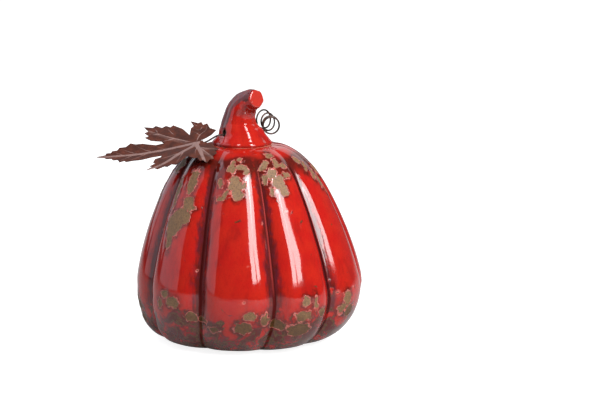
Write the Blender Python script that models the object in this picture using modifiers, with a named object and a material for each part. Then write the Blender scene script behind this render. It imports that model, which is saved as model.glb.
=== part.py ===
"""Ceramic pumpkin figure: a ribbed hollow casting with a curved stem, and a steel maple leaf on a wire.

The wire runs through two holes in the stem. It slides along them and turns in them, and the leaf at
one end and the curly tendril at the other go with it. Metres, +Z up, the front faces -Y.
"""

import math

import bmesh
import bpy
import numpy as np
from mathutils import Matrix, Vector
from mathutils.geometry import delaunay_2d_cdt

# The whole figure is centred on the origin, so the pumpkin's own axis stands a little to its right.
PUMPKIN_AXIS = Vector((0.0172, -0.0001, 0.0))
GAP = 0.0003  # between pieces that touch

# Body: the crest of a lobe as radius and height, from the foot up to the seat of the stem.
BODY_CREST = (
    (0.0480, 0.0013),
    (0.0600, 0.0020),
    (0.0735, 0.0062),
    (0.0845, 0.0165),
    (0.0914, 0.0320),
    (0.0934, 0.0470),
    (0.0912, 0.0620),
    (0.0850, 0.0840),
    (0.0766, 0.1060),
    (0.0662, 0.1280),
    (0.0560, 0.1435),
    (0.0455, 0.1540),
    (0.0355, 0.1595),
    (0.0270, 0.1610),
)
BODY_LEAN = (  # height, and how far the section there stands to the right
    (0.0, -0.0070),
    (0.010, -0.0045),
    (0.025, -0.0015),
    (0.045, 0.0),
    (0.135, -0.0043),
    (0.161, -0.0060),
)
GROOVES = (-67.0, -27.5, 12.8, 47.5, 86.0, 126.0, 166.0, 206.0, 250.0)  # degrees round from the front
GROOVE_DEPTH = (  # height, and depth there
    (0.0, 0.0035),
    (0.020, 0.0065),
    (0.048, 0.0080),
    (0.090, 0.0080),
    (0.130, 0.0060),
    (0.161, 0.0015),
)
GROOVE_ROUNDING = 0.18  # as a share of half a lobe
LOBE_FULLNESS = 3.2  # how square-shouldered a lobe is: 2 is a plain parabola
WALL = 0.005
DRAIN_RADIUS = 0.014
FOOT_RING_INNER = 0.030
FOOT_RECESS = 0.0015
FOOT_RING_SLOPE = 0.004
NECK_RADIUS = 0.0165
LOBE_STEPS = 8

# Stem: the middle of its section and the section's radius, from the collar up to the cut end.
STEM_CENTRES = (
    (-0.0072, 0.0, 0.1613, 0.0232),
    (-0.0072, 0.0, 0.1632, 0.0238),
    (-0.0074, 0.0, 0.1660, 0.0216),
    (-0.0080, 0.0, 0.1695, 0.0188),
    (-0.0089, 0.0, 0.1740, 0.0161),
    (-0.0094, 0.0, 0.1800, 0.0137),
    (-0.0081, -0.0010, 0.1875, 0.0122),
    (-0.0043, -0.0035, 0.1944, 0.0108),
    (0.0004, -0.0080, 0.1984, 0.0089),
    (0.0045, -0.0130, 0.1999, 0.0075),
)
STEM_BORE = (
    (-0.0060, 0.0, 0.1613, NECK_RADIUS),
    (-0.0070, 0.0, 0.1660, 0.0146),
    (-0.0084, 0.0, 0.1730, 0.0112),
    (-0.0088, 0.0, 0.1800, 0.0090),
    (-0.0083, -0.0007, 0.1860, 0.0070),
)
STEM_UPRIGHT = ((0.164, 1.0), (0.180, 0.0))  # height, and how far the sections there are kept level
STEM_RIDGES = 6
STEM_RIDGE_HEIGHT = 0.03  # as a share of the radius
STEM_SIDES = 36

# Wire: its straight stretch crosses the stem from the front left to the back right.
HOLE_CENTRE = Vector((-0.0085, 0.0, 0.1718))
HOLE_DIRECTION = Vector((-0.80, -0.60, 0.0))  # out towards the leaf
HOLE_RADIUS = 0.0028
WIRE_RADIUS = 0.0007
HOLE_DRILL_LENGTH = 0.070
WIRE_SAG = 0.0016  # the wire lies near the bottom of its holes
WIRE_CENTRE = HOLE_CENTRE - Vector((0.0, 0.0, WIRE_SAG))
STRAIGHT_HALF = 0.0100
LEAF_SIDE_REACH = 0.0208  # from the stem's middle to the bend on the leaf's side
TENDRIL_SIDE_REACH = 0.0262  # and to the bend on the tendril's side
BEND_EASE = 0.0016  # how far the wire still runs straight on as it bends
HEEL_EASE = 0.35  # share of its run under the leaf that it takes to level out
FALL_EASE = 0.12  # share of its fall at the start and at the end of the bend
LEAD_STEPS = 5

# Leaf: each side of the outline from the tip to the petiole, along and out from the midrib, as shares
# of its length.
LEAF_LENGTH = 0.081
LEAF_TIP = (1.000, 0.000)
LEAF_BACK = (
    (0.910, 0.021), (0.898, 0.051), (0.853, 0.050), (0.838, 0.080), (0.790, 0.084), (0.765, 0.126),
    (0.700, 0.128), (0.650, 0.176), (0.600, 0.150), (0.530, 0.148), (0.400, 0.092), (0.310, 0.098),
    (0.345, 0.140), (0.440, 0.175), (0.500, 0.245), (0.458, 0.262), (0.503, 0.332), (0.462, 0.352),
    (0.505, 0.450), (0.415, 0.410), (0.385, 0.438), (0.320, 0.378), (0.280, 0.400), (0.235, 0.352),
    (0.206, 0.383), (0.112, 0.275), (0.046, 0.137), (0.025, 0.246), (-0.005, 0.275), (0.023, 0.378),
    (-0.050, 0.318), (-0.085, 0.330), (-0.100, 0.270), (-0.142, 0.288), (-0.165, 0.195), (-0.225, 0.150),
    (-0.170, 0.085), (-0.100, 0.042), (-0.040, 0.014),
)
LEAF_FRONT = (
    (0.920, 0.022), (0.898, 0.050), (0.850, 0.052), (0.833, 0.094), (0.785, 0.096), (0.768, 0.159),
    (0.720, 0.135), (0.700, 0.165), (0.630, 0.150), (0.550, 0.156), (0.440, 0.138), (0.343, 0.138),
    (0.348, 0.178), (0.410, 0.200), (0.430, 0.262), (0.400, 0.280), (0.465, 0.320), (0.435, 0.335),
    (0.500, 0.385), (0.421, 0.365), (0.390, 0.400), (0.321, 0.372), (0.290, 0.392), (0.245, 0.360),
    (0.202, 0.385), (0.150, 0.330), (0.085, 0.270), (0.020, 0.340), (-0.015, 0.345), (-0.040, 0.410),
    (-0.070, 0.405), (-0.105, 0.465), (-0.135, 0.410), (-0.178, 0.418), (-0.170, 0.345), (-0.215, 0.305),
    (-0.190, 0.255), (-0.240, 0.232), (-0.190, 0.165), (-0.175, 0.091), (-0.110, 0.043), (-0.040, 0.014),
)
PETIOLE_STUB = (-0.085, 0.012)
LEAF_THICKNESS = 0.0006
LEAF_GRID = 0.06  # spacing of the points inside the outline, as a share of the length
LEAF_GRID_BACK = -0.24
LEAF_GRID_SIDE = 0.60
LEAF_JUNCTION = Vector((-0.0453, -0.0104, 0.1640))
LEAF_DROOP = 8.6  # degrees that the midrib falls towards its tip
LEAF_TILT = 23.0  # degrees that the leaf leans towards the front
LEAF_FOLD = 0.0022  # rise of its sides above the midrib
LEAF_FOLD_REACH = 0.012
LEAF_SAG = 0.0026

# Solder: a short saddle of metal round the wire under the leaf.
BEADS = (("leaf_solder_petiole", -0.0035), ("leaf_solder_midrib", 0.0055))  # name, place along the midrib
BEAD_LENGTH = 0.0030
BEAD_RADIUS = 0.0017
BEAD_STEPS = 12
WIRE_UNDER_LEAF = LEAF_THICKNESS / 2 + GAP + WIRE_RADIUS
WIRE_UNDER_START = -0.006  # the stretch under the midrib
WIRE_UNDER_END = 0.0095

# Tendril: a curly coil whose turns face the front more and more.
COIL_LOOPS = (  # the middle of a loop, its radius, and how many degrees it faces round to the right
    (0.0095, 0.0192, 0.1800, 0.0077, 50.0),
    (0.0139, 0.0150, 0.1786, 0.0062, 44.0),
    (0.0168, 0.0110, 0.1751, 0.0070, 20.0),
    (0.0169, 0.0100, 0.1750, 0.0067, 12.0),
)
COIL_TURNS = 3.9
COIL_START_ANGLE = 210.0
COIL_STEPS = 22  # points a turn
COIL_LEAD_IN = 1.2  # straight run before the coil, in its steps

# Foot pads under the foot ring.
PAD_RADIUS = 0.005
PAD_THICKNESS = 0.001
PAD_CIRCLE = 0.037
PAD_ANGLES = (45.0, 135.0, 225.0, 315.0)


def spline(stations, steps):
    """A Catmull-Rom curve through the stations, with that many steps between two of them."""
    points = np.array(stations)
    points = np.vstack([2 * points[0] - points[1], points, 2 * points[-1] - points[-2]])
    curve = []
    for before, start, end, after in zip(points, points[1:], points[2:], points[3:]):
        for t in np.arange(steps) / steps:
            linear = (end - before) * t
            square = (2 * before - 5 * start + 4 * end - after) * t**2
            cubic = (3 * start - before - 3 * end + after) * t**3
            curve.append((2 * start + linear + square + cubic) / 2)
    return np.array(curve + [points[-2]])


def look_up(stations, value):
    places, values = zip(*stations)
    return float(np.interp(value, places, values))


def clear_scene():
    for obj in list(bpy.data.objects):
        bpy.data.objects.remove(obj)


def new_collection(name):
    collection = bpy.data.collections.new(name)
    bpy.context.scene.collection.children.link(collection)
    return collection


def material(name, color, roughness, metallic=0.0, coat=0.0):
    made = bpy.data.materials.new(name)
    made.use_nodes = True
    shader = made.node_tree.nodes["Principled BSDF"]
    shader.inputs["Base Color"].default_value = (*color, 1.0)
    shader.inputs["Roughness"].default_value = roughness
    shader.inputs["Metallic"].default_value = metallic
    shader.inputs["Coat Weight"].default_value = coat
    made.diffuse_color = (*color, 1.0)
    return made


def add_object(name, data, collection, parent, skin=None):
    obj = bpy.data.objects.new(name, data)
    collection.objects.link(obj)
    obj.parent = parent
    if skin:
        data.materials.append(skin)
    return obj


def add_empty(name, location, collection, parent=None):
    empty = add_object(name, None, collection, parent)
    empty.location = location
    empty.empty_display_size = 0.01
    return empty


def loft(name, rings, looped=False):
    """A closed mesh through rings of points. Its ends are capped, unless the last ring meets the first."""
    bm = bmesh.new()
    rows = [[bm.verts.new(point) for point in ring] for ring in rings]
    pairs = list(zip(rows, rows[1:]))
    if looped:
        pairs.append((rows[-1], rows[0]))
    else:
        bm.faces.new(rows[0])
        bm.faces.new(rows[-1])
    for low, high in pairs:
        for i in range(len(low)):
            j = (i + 1) % len(low)
            bm.faces.new((low[i], low[j], high[j], high[i]))
    bmesh.ops.recalc_face_normals(bm, faces=bm.faces)
    mesh = bpy.data.meshes.new(name)
    bm.to_mesh(mesh)
    bm.free()
    return mesh


# The body.


def lobe_points():
    """Angles round the body, in radians, with how full the lobe is at each: 0 in a groove, 1 on a crest."""
    points = []
    for start, end in zip(GROOVES, GROOVES[1:] + (GROOVES[0] + 360,)):
        for step in range(LOBE_STEPS):
            share = step / LOBE_STEPS
            from_groove = 1 - abs(2 * share - 1)
            rounded = math.hypot(from_groove, GROOVE_ROUNDING) - GROOVE_ROUNDING
            rounded /= math.hypot(1, GROOVE_ROUNDING) - GROOVE_ROUNDING
            full = 1 - (1 - rounded) ** LOBE_FULLNESS
            points.append((math.radians(start + share * (end - start)), full))
    return points


def body_ring(radius, height, depth):
    lean = look_up(BODY_LEAN, height)
    ring = []
    for angle, full in lobe_points():
        reach = radius - depth * (1 - full)
        ring.append(Vector((reach * math.sin(angle) + lean, -reach * math.cos(angle), height)))
    return ring


def inner_crest(crest):
    """The crest line moved inwards by the wall, along its own normals."""
    along = np.gradient(crest, axis=0)
    along /= np.linalg.norm(along, axis=1)[:, None]
    return crest + WALL * np.column_stack([-along[:, 1], along[:, 0]])


def build_body(collection, parent, skin):
    outer = spline(BODY_CREST, 2)
    inner = inner_crest(outer)[::-2]
    foot = outer[0][1]
    top = outer[-1][1]
    rings = [
        body_ring(DRAIN_RADIUS, foot + FOOT_RECESS, 0),
        body_ring(FOOT_RING_INNER - FOOT_RING_SLOPE, foot + FOOT_RECESS, 0),
        body_ring(FOOT_RING_INNER, foot, 0),
    ]
    rings += [body_ring(radius, height, look_up(GROOVE_DEPTH, height)) for radius, height in outer]
    rings += [body_ring(NECK_RADIUS, top, 0), body_ring(NECK_RADIUS, top - WALL, 0)]
    rings += [body_ring(radius, height, look_up(GROOVE_DEPTH, height)) for radius, height in inner]
    rings.append(body_ring(DRAIN_RADIUS, foot + WALL + FOOT_RECESS, 0))
    mesh = loft("ceramic_body", rings, looped=True)
    return add_object("ceramic_body", mesh, collection, parent, skin)


# The stem.


def stem_rings(stations, steps, ridge_height):
    """Rings round the line through the stations' middles: level at the collar, then square to the line."""
    line = spline(stations, steps)
    along = np.gradient(line[:, :3], axis=0)
    up = Vector((0, 0, 1))
    rings = []
    for station, tangent in zip(line, along):
        level = look_up(STEM_UPRIGHT, station[2])
        tangent = Vector(tangent).normalized().lerp(up, level).normalized()
        sideways = Vector((0, 1, 0)).cross(tangent).normalized()
        forwards = tangent.cross(sideways)
        middle = Vector(station[:3])
        ring = []
        for side in range(STEM_SIDES):
            angle = math.tau * side / STEM_SIDES
            radius = float(station[3]) * (1 + ridge_height * math.cos(STEM_RIDGES * angle))
            ring.append(middle + radius * (math.cos(angle) * sideways + math.sin(angle) * forwards))
        rings.append(ring)
    return rings


def build_stem(collection, cutters, parent, skin):
    bore = stem_rings(STEM_BORE, 2, 0)
    horn = stem_rings(STEM_CENTRES, 2, STEM_RIDGE_HEIGHT)
    mesh = loft("ceramic_stem", bore[::-1] + horn)
    stem = add_object("ceramic_stem", mesh, collection, parent, skin)
    bpy.ops.mesh.primitive_cylinder_add(vertices=32, radius=HOLE_RADIUS, depth=HOLE_DRILL_LENGTH)
    drill = bpy.context.object
    drill.name = "wire_hole_drill"
    drill.parent = parent
    drill.location = HOLE_CENTRE
    drill.rotation_euler = HOLE_DIRECTION.to_track_quat("Z", "Y").to_euler()
    drill.hide_render = True
    drill.display_type = "WIRE"
    for owner in drill.users_collection:
        owner.objects.unlink(drill)
    cutters.objects.link(drill)
    cut = stem.modifiers.new("wire_holes", "BOOLEAN")
    cut.operation = "DIFFERENCE"
    cut.object = drill
    return stem


# The leaf, in its own frame: the junction of the veins is the origin, X runs out along the midrib,
# Y towards the front and Z up.


def leaf_frame():
    droop = math.radians(LEAF_DROOP)
    tilt = math.radians(LEAF_TILT)
    midrib = Vector((-math.cos(droop), 0, -math.sin(droop)))
    across = Vector((0, math.cos(tilt), math.sin(tilt)))
    across = (across - across.dot(midrib) * midrib).normalized()
    upwards = across.cross(midrib)
    frame = Matrix((midrib, -across, upwards)).transposed().to_4x4()
    frame.translation = LEAF_JUNCTION - WIRE_CENTRE
    return frame


def leaf_height(along, across):
    """The leaf is folded up a little on each side of its midrib, and it sags halfway along."""
    fold = LEAF_FOLD * (1 - math.exp(-((across / LEAF_FOLD_REACH) ** 2)))
    sag = LEAF_SAG * math.sin(math.pi * min(max(along / LEAF_LENGTH, 0), 1))
    return fold - sag


def leaf_outline():
    back = [(along, -across) for along, across in (*LEAF_BACK, PETIOLE_STUB)]
    points = [LEAF_TIP, *LEAF_FRONT, PETIOLE_STUB, *reversed(back)]
    return [Vector(point) * LEAF_LENGTH for point in points]


def leaf_sheet():
    """The leaf's middle surface: its outline filled with triangles, and then lifted into shape."""
    outline = leaf_outline()
    loop = list(range(len(outline)))
    rows = np.arange(LEAF_GRID_BACK, 1, LEAF_GRID)
    columns = np.arange(-LEAF_GRID_SIDE, LEAF_GRID_SIDE + LEAF_GRID / 2, LEAF_GRID)
    grid = [Vector((row, column)) * LEAF_LENGTH for row in rows for column in columns]
    points, _, triangles, _, _, _ = delaunay_2d_cdt(outline + grid, [], [loop], 1, 1e-6)
    used = sorted({index for triangle in triangles for index in triangle})
    place = {index: order for order, index in enumerate(used)}
    lifted = [(points[i].x, points[i].y, leaf_height(points[i].x, points[i].y)) for i in used]
    mesh = bpy.data.meshes.new("leaf_blade")
    mesh.from_pydata(lifted, [], [[place[i] for i in triangle] for triangle in triangles])
    return mesh


def build_leaf(collection, parent, skin):
    leaf = add_object("leaf_blade", leaf_sheet(), collection, parent, skin)
    leaf.matrix_local = leaf_frame()
    thicken = leaf.modifiers.new("sheet_thickness", "SOLIDIFY")
    thicken.thickness = LEAF_THICKNESS
    thicken.offset = 0
    return leaf


def build_bead(name, along, collection, leaf, skin):
    """A U of solder below the wire, with its open side towards the leaf."""
    arms = WIRE_UNDER_LEAF - LEAF_THICKNESS / 2 - GAP
    inner = WIRE_RADIUS + GAP
    bends = [math.pi * (1 + step / BEAD_STEPS) for step in range(BEAD_STEPS + 1)]
    outside = [(BEAD_RADIUS * math.cos(bend), BEAD_RADIUS * math.sin(bend)) for bend in bends]
    inside = [(inner * math.cos(bend), inner * math.sin(bend)) for bend in reversed(bends)]
    left = [(-inner, arms), (-BEAD_RADIUS, arms)]
    right = [(BEAD_RADIUS, arms), (inner, arms)]
    outline = left + outside + right + inside
    curve = bpy.data.curves.new(name, "CURVE")
    curve.dimensions = "2D"
    curve.fill_mode = "BOTH"
    curve.extrude = BEAD_LENGTH / 2
    line = curve.splines.new("POLY")
    line.points.add(len(outline) - 1)
    for point, (across, upwards) in zip(line.points, outline):
        point.co = (across, upwards, 0, 1)
    line.use_cyclic_u = True
    bead = add_object(name, curve, collection, leaf, skin)
    bead.location = (along, 0, leaf_height(along, 0) - WIRE_UNDER_LEAF)
    bead.rotation_euler = (math.pi / 2, 0, math.pi / 2)
    return bead


# The wire, from its own centre in the middle of the stem.


def build_wire(name, points, collection, parent, skin):
    curve = bpy.data.curves.new(name, "CURVE")
    curve.dimensions = "3D"
    curve.bevel_depth = WIRE_RADIUS
    curve.bevel_resolution = 2
    curve.use_fill_caps = True
    line = curve.splines.new("POLY")
    line.points.add(len(points) - 1)
    for point, place in zip(line.points, points):
        point.co = (*place, 1)
    return add_object(name, curve, collection, parent, skin)


def leaf_lead():
    """From the stem's bore out of the near hole, down to the leaf, and along under its midrib."""
    frame = leaf_frame()
    under = []
    for along in (WIRE_UNDER_START, 0.0, WIRE_UNDER_END):
        under.append(frame @ Vector((along, 0, leaf_height(along, 0) - WIRE_UNDER_LEAF)))
    start = HOLE_DIRECTION * (STRAIGHT_HALF + GAP)
    bend = HOLE_DIRECTION * LEAF_SIDE_REACH
    fall = under[0] - bend
    knee = bend + HOLE_DIRECTION * BEND_EASE + fall * FALL_EASE
    heel = under[0] - (under[1] - under[0]) * HEEL_EASE - fall * FALL_EASE
    curved = [Vector(point) for point in spline([bend, knee, heel, under[0]], LEAD_STEPS)]
    return [start] + curved + under[1:]


def tendril():
    """From the bore out of the far hole, up behind the stem, and round the coil."""
    outwards = -HOLE_DIRECTION
    start = outwards * (STRAIGHT_HALF + GAP)
    bend = outwards * TENDRIL_SIDE_REACH
    coil = []
    count = int(COIL_TURNS * COIL_STEPS)
    for step in range(count + 1):
        share = step / count
        place = share * (len(COIL_LOOPS) - 1)
        x, y, z, radius, facing = (
            float(np.interp(place, range(len(COIL_LOOPS)), values)) for values in zip(*COIL_LOOPS)
        )
        facing = math.radians(facing)
        sideways = Vector((math.cos(facing), math.sin(facing), 0))
        angle = math.radians(COIL_START_ANGLE) - math.tau * COIL_TURNS * share
        offset = math.cos(angle) * sideways + Vector((0, 0, math.sin(angle)))
        coil.append(Vector((x, y, z)) - WIRE_CENTRE + radius * offset)
    lead_in = coil[0] - (coil[1] - coil[0]) * COIL_LEAD_IN
    turn = bend + outwards * BEND_EASE
    lead = [Vector(point) for point in spline([bend, turn, lead_in, coil[0]], LEAD_STEPS)]
    return [start] + lead[:-1] + coil


def build_pads(collection, parent, skin):
    for number, angle in enumerate(PAD_ANGLES, 1):
        bpy.ops.mesh.primitive_cylinder_add(vertices=32, radius=PAD_RADIUS, depth=PAD_THICKNESS)
        pad = bpy.context.object
        pad.name = f"foot_pad_{number}"
        pad.parent = parent
        turn = math.radians(angle)
        lean = look_up(BODY_LEAN, 0)
        right = PAD_CIRCLE * math.sin(turn) + lean
        forwards = PAD_CIRCLE * math.cos(turn)
        pad.location = (right, -forwards, PAD_THICKNESS / 2)
        pad.data.materials.append(skin)
        for owner in pad.users_collection:
            owner.objects.unlink(pad)
        collection.objects.link(pad)


def build_figure():
    clear_scene()
    figure = new_collection("ceramic_pumpkin_figure")
    cutters = new_collection("cutters")
    glaze = material("red_glaze", (0.55, 0.022, 0.012), 0.12, coat=0.6)
    rust = material("rusted_steel", (0.085, 0.035, 0.026), 0.55, metallic=0.7)
    iron = material("dark_wire", (0.050, 0.030, 0.026), 0.45, metallic=0.8)
    solder = material("solder", (0.16, 0.14, 0.13), 0.40, metallic=0.9)
    felt = material("felt", (0.10, 0.09, 0.08), 0.95)

    axis = add_empty("pumpkin_axis", PUMPKIN_AXIS, figure)
    build_body(figure, axis, glaze)
    build_stem(figure, cutters, axis, glaze)
    build_pads(figure, axis, felt)

    wire_axis = add_empty("wire_axis", WIRE_CENTRE, figure, axis)
    straight = [HOLE_DIRECTION * -STRAIGHT_HALF, HOLE_DIRECTION * STRAIGHT_HALF]
    build_wire("cross_wire", straight, figure, wire_axis, iron)
    build_wire("leaf_wire", leaf_lead(), figure, wire_axis, iron)
    build_wire("tendril_wire", tendril(), figure, wire_axis, iron)
    leaf = build_leaf(figure, wire_axis, rust)
    for name, along in BEADS:
        build_bead(name, along, figure, leaf, solder)


build_figure()
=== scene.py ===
"""Looks of a ceramic pumpkin figure with a steel maple leaf on a wire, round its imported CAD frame.

Metres, +Z up, the front faces -Y. The measures of the shapes repeat those of the CAD model, apart
from the stem's first and last stations, one below its middle, the bore's first, and the rounding of
the grooves. Steps and grids are finer than there.
"""

import math
import random

import bmesh
import bpy
import numpy as np
from mathutils import Matrix, Vector, noise
from mathutils.geometry import delaunay_2d_cdt


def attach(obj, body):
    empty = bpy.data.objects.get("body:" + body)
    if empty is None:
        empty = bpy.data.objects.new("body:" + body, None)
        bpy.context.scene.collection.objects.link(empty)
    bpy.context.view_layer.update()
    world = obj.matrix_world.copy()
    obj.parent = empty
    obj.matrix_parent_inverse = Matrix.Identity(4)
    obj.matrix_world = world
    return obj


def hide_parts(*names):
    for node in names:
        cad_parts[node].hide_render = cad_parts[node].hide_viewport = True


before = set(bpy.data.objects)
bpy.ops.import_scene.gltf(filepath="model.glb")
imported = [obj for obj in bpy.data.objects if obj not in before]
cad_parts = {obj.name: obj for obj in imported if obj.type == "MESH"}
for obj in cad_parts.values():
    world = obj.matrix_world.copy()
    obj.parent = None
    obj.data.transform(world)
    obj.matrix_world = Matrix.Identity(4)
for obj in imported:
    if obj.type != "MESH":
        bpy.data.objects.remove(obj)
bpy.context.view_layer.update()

# The body: the upright axis that it stands round, the radius and height of its crests, how far it
# leans to the side by height, the angles of its grooves from the front and how deep they are by height.
AXIS = Vector((0.0172, -0.0001, 0.0))
BODY_CREST = (
    (0.048, 0.0013), (0.06, 0.002), (0.0735, 0.0062), (0.0845, 0.0165), (0.0914, 0.032),
    (0.0934, 0.047), (0.0912, 0.062), (0.085, 0.084), (0.0766, 0.106), (0.0662, 0.128),
    (0.056, 0.1435), (0.0455, 0.154), (0.0355, 0.1595), (0.027, 0.161),
)
BODY_LEAN = (
    (0.0, -0.007), (0.01, -0.0045), (0.025, -0.0015), (0.045, 0.0), (0.135, -0.0043), (0.161, -0.006),
)
GROOVES = (-67.0, -27.5, 12.8, 47.5, 86.0, 126.0, 166.0, 206.0, 250.0)
GROOVE_DEPTH = (
    (0.0, 0.0035), (0.02, 0.0065), (0.048, 0.008), (0.09, 0.008), (0.13, 0.006), (0.161, 0.0015),
)
GROOVE_ROUNDING = 0.1
LOBE_FULLNESS = 3.2
WALL = 0.005
DRAIN_RADIUS = 0.014
FOOT_RING_INNER = 0.03
FOOT_RECESS = 0.0015
FOOT_RING_SLOPE = 0.004
NECK_RADIUS = 0.0165
LOBE_COLUMNS = 46
COLUMN_CROWDING = 0.6  # how much the columns gather at the grooves, below 1
CREST_STEPS = 15

# The casting's waves, as height and wavelength, and where they fade out at the foot and the neck.
LONG_WAVE = (0.00045, 0.03)
SHORT_WAVE = (0.00012, 0.0105)
FOOT_EASE = (0.002, 0.014)
NECK_EASE = (0.155, 0.16)

# Heights between which the colour changes: raw clay below, the thick band at the foot, the painted
# shade on the shoulder, from below and from above, and the grooves' maroon, partly glaze and partly
# painted shade, which ends below the neck.
CLAY_LINE = (0.0016, 0.0028)
FOOT_BAND = (0.022, 0.046)
SHOULDER_START = (0.137, 0.15)
SHOULDER_END = (0.153, 0.1582)
GROOVE_END = (0.146, 0.159)

# Where the glaze crawled back and left bare, matte patches: degrees round from the front, height,
# half the width, half the height up the wall, and how far the patch leans over in degrees.
PATCHES = (
    # The shoulder of the middle lobe.
    (-11, 0.149, 0.0029, 0.0056, 0), (-2, 0.149, 0.005, 0.0032, -18), (2, 0.146, 0.0026, 0.002, -30),
    (-8, 0.138, 0.0052, 0.0068, 0), (-6, 0.13, 0.0042, 0.0052, 0), (-1, 0.137, 0.0024, 0.0026, 0),
    (-4, 0.135, 0.0034, 0.002, 0), (-19, 0.138, 0.0019, 0.0044, 12), (-17, 0.127, 0.004, 0.002, 8),
    (-14, 0.13, 0.0019, 0.0036, -12), (-4, 0.1545, 0.0024, 0.002, 0),
    # The shoulder to its right.
    (19, 0.151, 0.0022, 0.0052, -24), (29, 0.1565, 0.0028, 0.0038, 0), (31, 0.151, 0.0026, 0.0044, 0),
    (37, 0.149, 0.004, 0.0022, -20), (24, 0.145, 0.004, 0.005, -20), (27, 0.138, 0.0046, 0.0058, -30),
    (29, 0.132, 0.0034, 0.0036, 0), (36, 0.142, 0.0032, 0.0028, 0), (17, 0.141, 0.0025, 0.0048, -6),
    (20, 0.1325, 0.0016, 0.0036, 10), (22, 0.1405, 0.0007, 0.0007, 0), (22, 0.143, 0.0006, 0.0006, 0),
    # The lobe on the right.
    (60, 0.151, 0.003, 0.004, -30), (65, 0.146, 0.0024, 0.0052, -30), (69, 0.14, 0.0026, 0.0056, -30),
    (73, 0.134, 0.0028, 0.0058, -25), (76, 0.128, 0.0018, 0.0044, -20), (94, 0.141, 0.003, 0.005, 0),
    # The lobe on the left.
    (-44, 0.137, 0.0046, 0.0108, 4), (-42, 0.122, 0.0056, 0.0048, 0), (-38, 0.118, 0.0026, 0.0022, 0),
    (-45, 0.11, 0.0094, 0.0078, 10), (-49, 0.103, 0.0078, 0.0086, 20), (-50, 0.092, 0.0034, 0.008, 8),
    (-56, 0.127, 0.0028, 0.013, 8),
    # The band near the foot.
    (0, 0.037, 0.005, 0.0033, 0), (-3, 0.027, 0.007, 0.0054, 0), (8, 0.033, 0.0034, 0.0052, 0),
    (15, 0.027, 0.0068, 0.0044, 0), (28, 0.047, 0.0028, 0.0038, 0), (34, 0.045, 0.0019, 0.0052, 0),
    (39, 0.036, 0.0034, 0.0042, 0), (28, 0.035, 0.007, 0.0044, 0), (27, 0.024, 0.01, 0.006, 0),
    (58, 0.044, 0.0038, 0.0062, 0), (55, 0.035, 0.003, 0.0042, 0), (61, 0.032, 0.0048, 0.0056, 0),
    (-47, 0.05, 0.0036, 0.0033, 0), (-42, 0.044, 0.0056, 0.0046, 0), (-51, 0.042, 0.0024, 0.0042, 0),
    (-32, 0.033, 0.0046, 0.0042, 0), (-26, 0.029, 0.0046, 0.0026, 0), (-18, 0.024, 0.0046, 0.003, 0),
)
BACK_VIEW = (100, 285)  # the angles that are filled with drawn patches
BACK_PATCHES = 95
BACK_FOOT_SHARE = 0.55
BACK_FOOT_BAND = (0.018, 0.05)
BACK_SHOULDER_BAND = (0.118, 0.154)
BACK_PATCH_SIZE = (0.0015, 0.0055)
NO_PATCH = -0.02
PATCH_WARP = 0.0022
PATCH_WARP_WAVE = 0.0052
PATCH_FRAY = 0.0011
PATCH_FRAY_WAVE = 0.0021
PATCH_RECESS = 0.00022
PATCH_RIM = 0.0002

# Pinholes in the glaze: degrees round from the front, height and radius.
PINHOLES = (
    (-3, 0.0485, 0.0008), (0, 0.076, 0.0006), (26, 0.1165, 0.0006), (63, 0.051, 0.0007),
    (150, 0.07, 0.0007), (190, 0.108, 0.0006), (-95, 0.062, 0.0007), (232, 0.049, 0.0008),
    (112, 0.096, 0.0006),
)
PINHOLE_DEPTH = 0.0004
PINHOLE_SPREAD = 2.2

# The stem: x, y and z of its middle line from the axis, and its radius. The bore likewise.
STEM_CENTRES = (
    (-0.0072, 0.0, 0.1609, 0.023),
    (-0.0072, 0.0, 0.1632, 0.0238),
    (-0.0074, 0.0, 0.166, 0.0216),
    (-0.008, 0.0, 0.1695, 0.0188),
    (-0.0092, 0.0, 0.174, 0.0162),
    (-0.0094, 0.0, 0.18, 0.0137),
    (-0.0081, -0.001, 0.1875, 0.0122),
    (-0.0043, -0.0035, 0.1944, 0.0108),
    (0.0004, -0.008, 0.1984, 0.0089),
    (0.0037, -0.0119, 0.1996, 0.0078),
)
STEM_BORE = (
    (-0.006, 0.0, 0.1609, NECK_RADIUS),
    (-0.007, 0.0, 0.166, 0.0146),
    (-0.0084, 0.0, 0.173, 0.0112),
    (-0.0088, 0.0, 0.18, 0.009),
    (-0.0083, -0.0007, 0.186, 0.007),
)
STEM_UPRIGHT = ((0.164, 1.0), (0.18, 0.0))
STEM_RIDGES = 6
STEM_RIDGE_HEIGHT = 0.03
STEM_SIDES = 120
STEM_STEPS = 12
STEM_LUMPS = ((0.00034, 0.01), (0.00014, 0.0042))  # height and wavelength
STEM_SINK = 0.0001
STEM_LUMPS_START = (0.1612, 0.164)

# The cut end: how far each ring stands forward of the last station, and its share of the radius.
STEM_RIM = (
    (0.0007, 0.985), (0.0014, 0.945), (0.0019, 0.885), (0.0022, 0.81), (0.0023, 0.73),
    (0.00225, 0.66), (0.0021, 0.3),
)
CUT_FACE_EDGE = (0.007, 0.0074)

# Directions out from the stem's middle line that the glaze's colours go by: to the red flank, away
# from the dark one, down from the tip, where shade is painted under it, and to the viewer's left,
# where the olive stripe and a painted shade line lie.
RED_FLANK = (0.75, -0.66, -0.25)
UNDER_TIP = (0.35, -0.75, -0.55)
LEFT_FRONT = (-0.66, -0.75, 0.0)

# The wire's holes through the stem: how far out their lips are, and how wide and deep they round.
HOLE_LIP_REACH = 0.0125
HOLE_LIP_WIDTH = 0.0016
HOLE_LIP_DEPTH = 0.00045

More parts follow.
